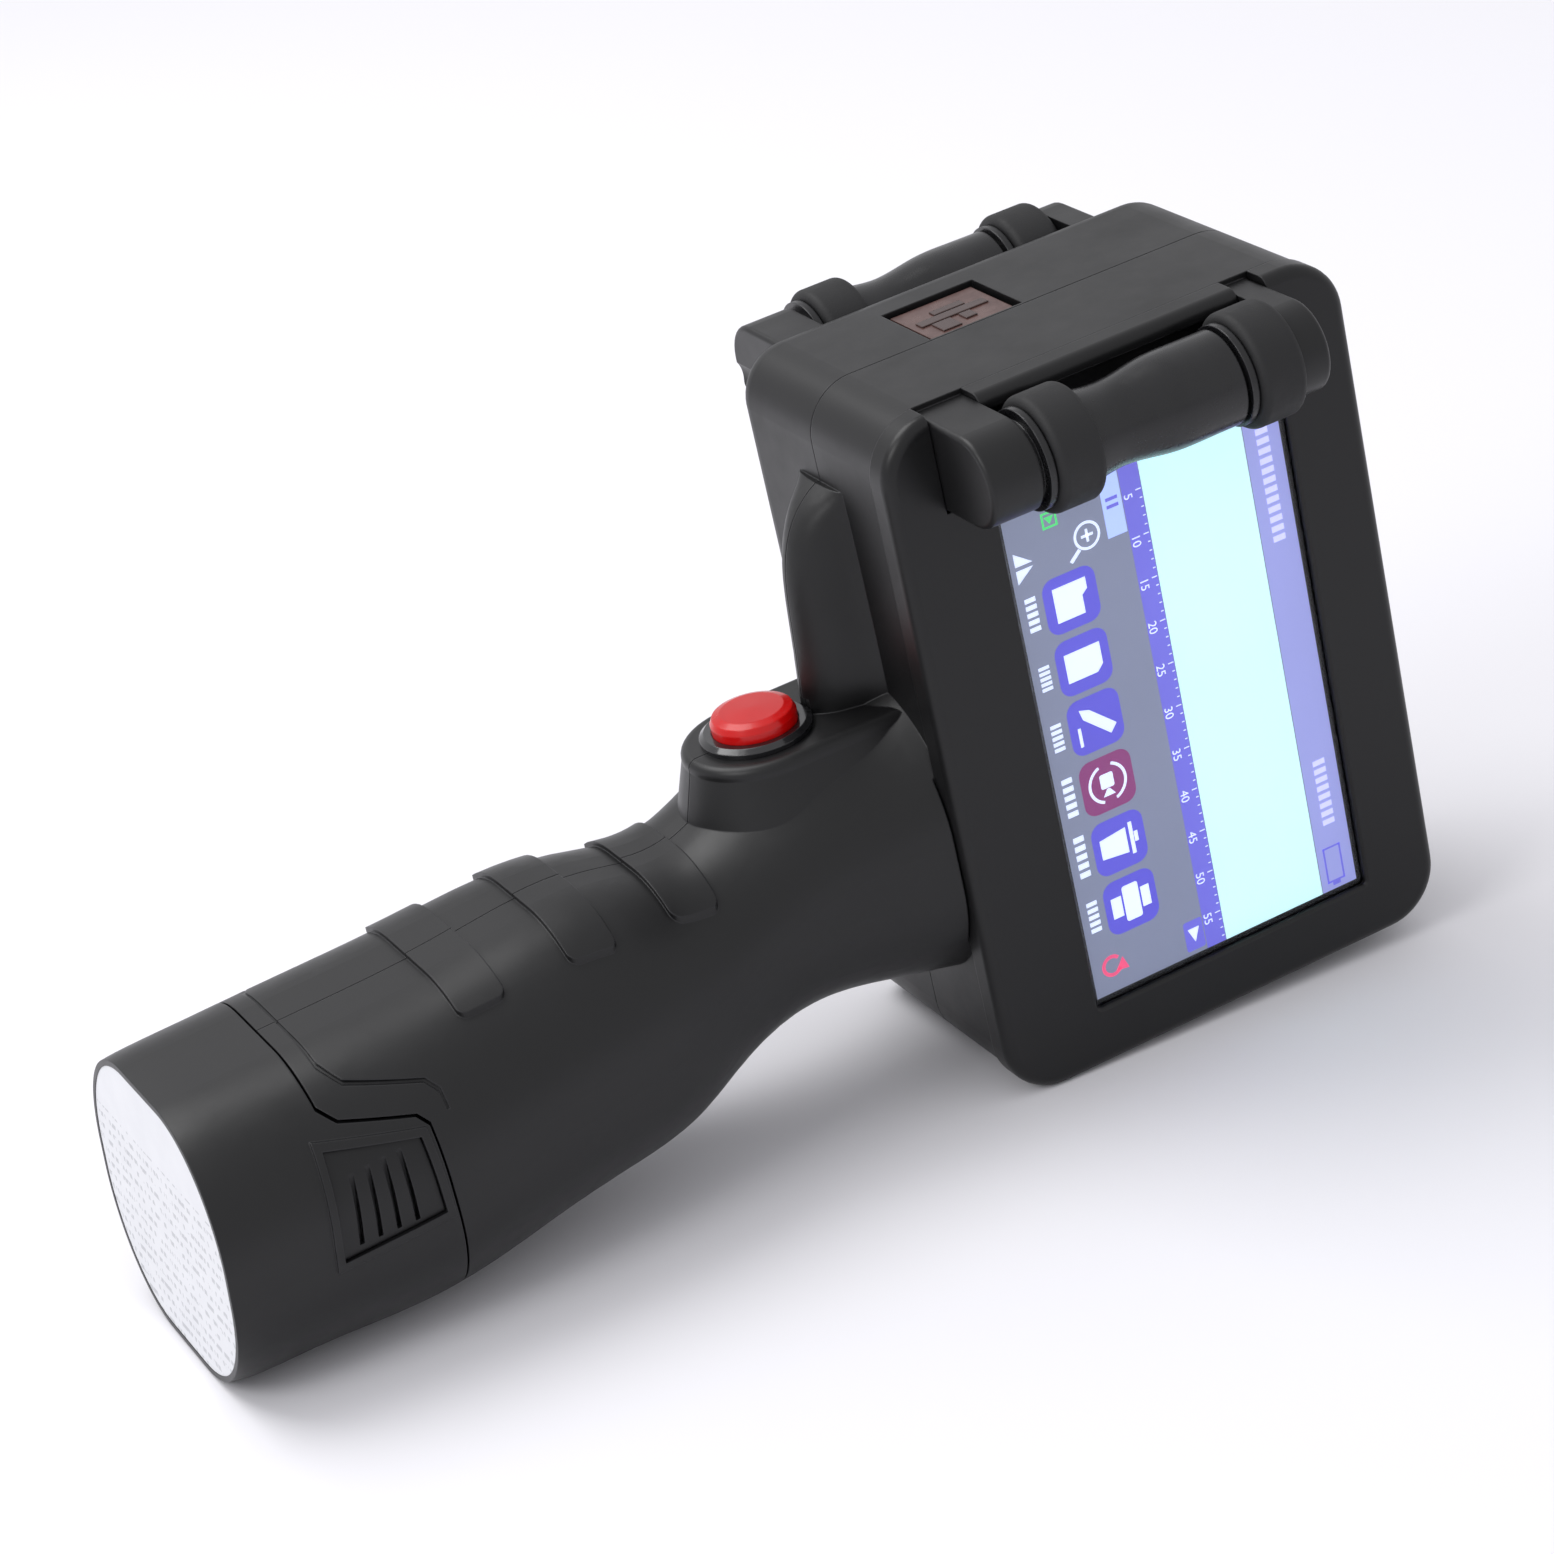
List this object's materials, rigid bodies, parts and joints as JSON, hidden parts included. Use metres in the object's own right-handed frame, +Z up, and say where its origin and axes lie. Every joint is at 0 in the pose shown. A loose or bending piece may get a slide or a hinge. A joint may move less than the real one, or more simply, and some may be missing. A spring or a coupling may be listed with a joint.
{
  "type": "hand-held inkjet label and code printer",
  "caption": "Hand-held ink label printer with a touch screen, guide rollers beside its print window, a trigger button and a clip-in grip battery.",
  "frame": {"origin": "under the middle of the bounding box, on the surface the head lies on", "axes": "+X along the grip from the battery to the far end of the head, -Y out of the screen, +Z up towards the print face"},
  "size_m": [0.2308, 0.0928, 0.1268],
  "materials": {
    "shell_plastic": "fine satin moulded",
    "bezel_plastic": "satin",
    "touch_glass": "polished",
    "display": "lit display face",
    "spacer_nylon": "matt",
    "circuit_board": "solder mask",
    "ink_body": "smoky satin",
    "nozzle_metal": "fine ground",
    "steel": "bright",
    "spring_steel": "bright",
    "roller_plastic": "polished",
    "tyre_rubber": "matt ground",
    "bush_plastic": "matt",
    "magnet": "dull",
    "sensor_plastic": "moulded",
    "trigger_red": "polished",
    "collar_black": "polished",
    "nut_brass": "turned",
    "switch_body": "matt",
    "socket_plastic": "moulded",
    "socket_metal": "plated",
    "power_plastic": "satin",
    "battery_plastic": "fine satin moulded",
    "release_plastic": "satin",
    "cell_wrap": "shrink wrap",
    "contact_gold": "plated",
    "label_paper": "semi-matt label",
    "lead_sleeve": "smooth sleeve"
  },
  "bodies": {
    "root": {"left_shell": "shell_plastic", "right_shell": "shell_plastic", "screen_bezel": "bezel_plastic", "touch_glass": "touch_glass", "display_module": "display", "board_spacers": "spacer_nylon", "main_board": "circuit_board", "ink_cartridge": "ink_body", "nozzle_plate": "nozzle_metal", "cartridge_cradle": "switch_body", "door_hinge_pins": "steel", "shell_screws": "steel", "near_roller_axle": "steel", "far_roller_axle": "steel", "encoder_sensor": "sensor_plastic", "trigger_collar": "collar_black", "trigger_nut": "nut_brass", "trigger_switch": "switch_body", "trigger_spring": "spring_steel", "dc_inlet": "socket_plastic", "usb_socket": "socket_metal", "power_switch": "switch_body", "terminal_block": "switch_body", "terminal_blades": "contact_gold", "power_leads": "lead_sleeve"},
    "near_roller": {"near_roller_core": "roller_plastic", "near_tyre_grip_end": "tyre_rubber", "near_tyre_far_end": "tyre_rubber", "near_roller_bushes": "bush_plastic", "encoder_magnet": "magnet"},
    "far_roller": {"far_roller_core": "roller_plastic", "far_tyre_grip_end": "tyre_rubber", "far_tyre_far_end": "tyre_rubber", "far_roller_bushes": "bush_plastic"},
    "trigger": {"trigger_cap": "trigger_red"},
    "door": {"cartridge_door": "shell_plastic"},
    "power": {"power_button": "power_plastic"},
    "battery": {"battery_case": "battery_plastic", "battery_label": "label_paper", "battery_cells": "cell_wrap", "contact_plate": "switch_body", "battery_contacts": "contact_gold", "near_release_spring": "spring_steel", "far_release_spring": "spring_steel"},
    "near_release": {"near_release_button": "release_plastic"},
    "far_release": {"far_release_button": "release_plastic"}
  },
  "joints": [
    {"name": "near_roller_spin", "type": "hinge", "parent": "root", "child": "near_roller", "pos_m": [0.0707, -0.03633, 0.1168], "axis": [1, 0, 0], "continuous": true},
    {"name": "far_roller_spin", "type": "hinge", "parent": "root", "child": "far_roller", "pos_m": [0.0707, 0.03633, 0.1168], "axis": [1, 0, 0], "continuous": true},
    {"name": "trigger_press", "type": "slide", "parent": "root", "child": "trigger", "axis": [0, 0, -1], "range_m": [0, 0.002], "stiffness_N_per_m": 400, "springref_m": -0.001, "deforming": ["trigger_spring"]},
    {"name": "door_swing", "type": "hinge", "parent": "root", "child": "door", "pos_m": [0.107, 0.0253, 0.058], "axis": [0, 0, -1], "range_deg": [0, 90]},
    {"name": "power_press", "type": "slide", "parent": "root", "child": "power", "axis": [-1, 0, 0], "range_m": [0, 0.0008], "stiffness_N_per_m": 800, "springref_m": -0.0005},
    {"name": "battery_withdraw", "type": "slide", "parent": "root", "child": "battery", "axis": [-1, 0, 0], "range_m": [0, 0.08]},
    {"name": "near_release_press", "type": "slide", "parent": "battery", "child": "near_release", "axis": [0, 1, 0], "range_m": [0, 0.002], "stiffness_N_per_m": 900, "springref_m": -0.0008},
    {"name": "far_release_press", "type": "slide", "parent": "battery", "child": "far_release", "axis": [0, -1, 0], "range_m": [0, 0.002], "stiffness_N_per_m": 900, "springref_m": -0.0008}
  ]
}
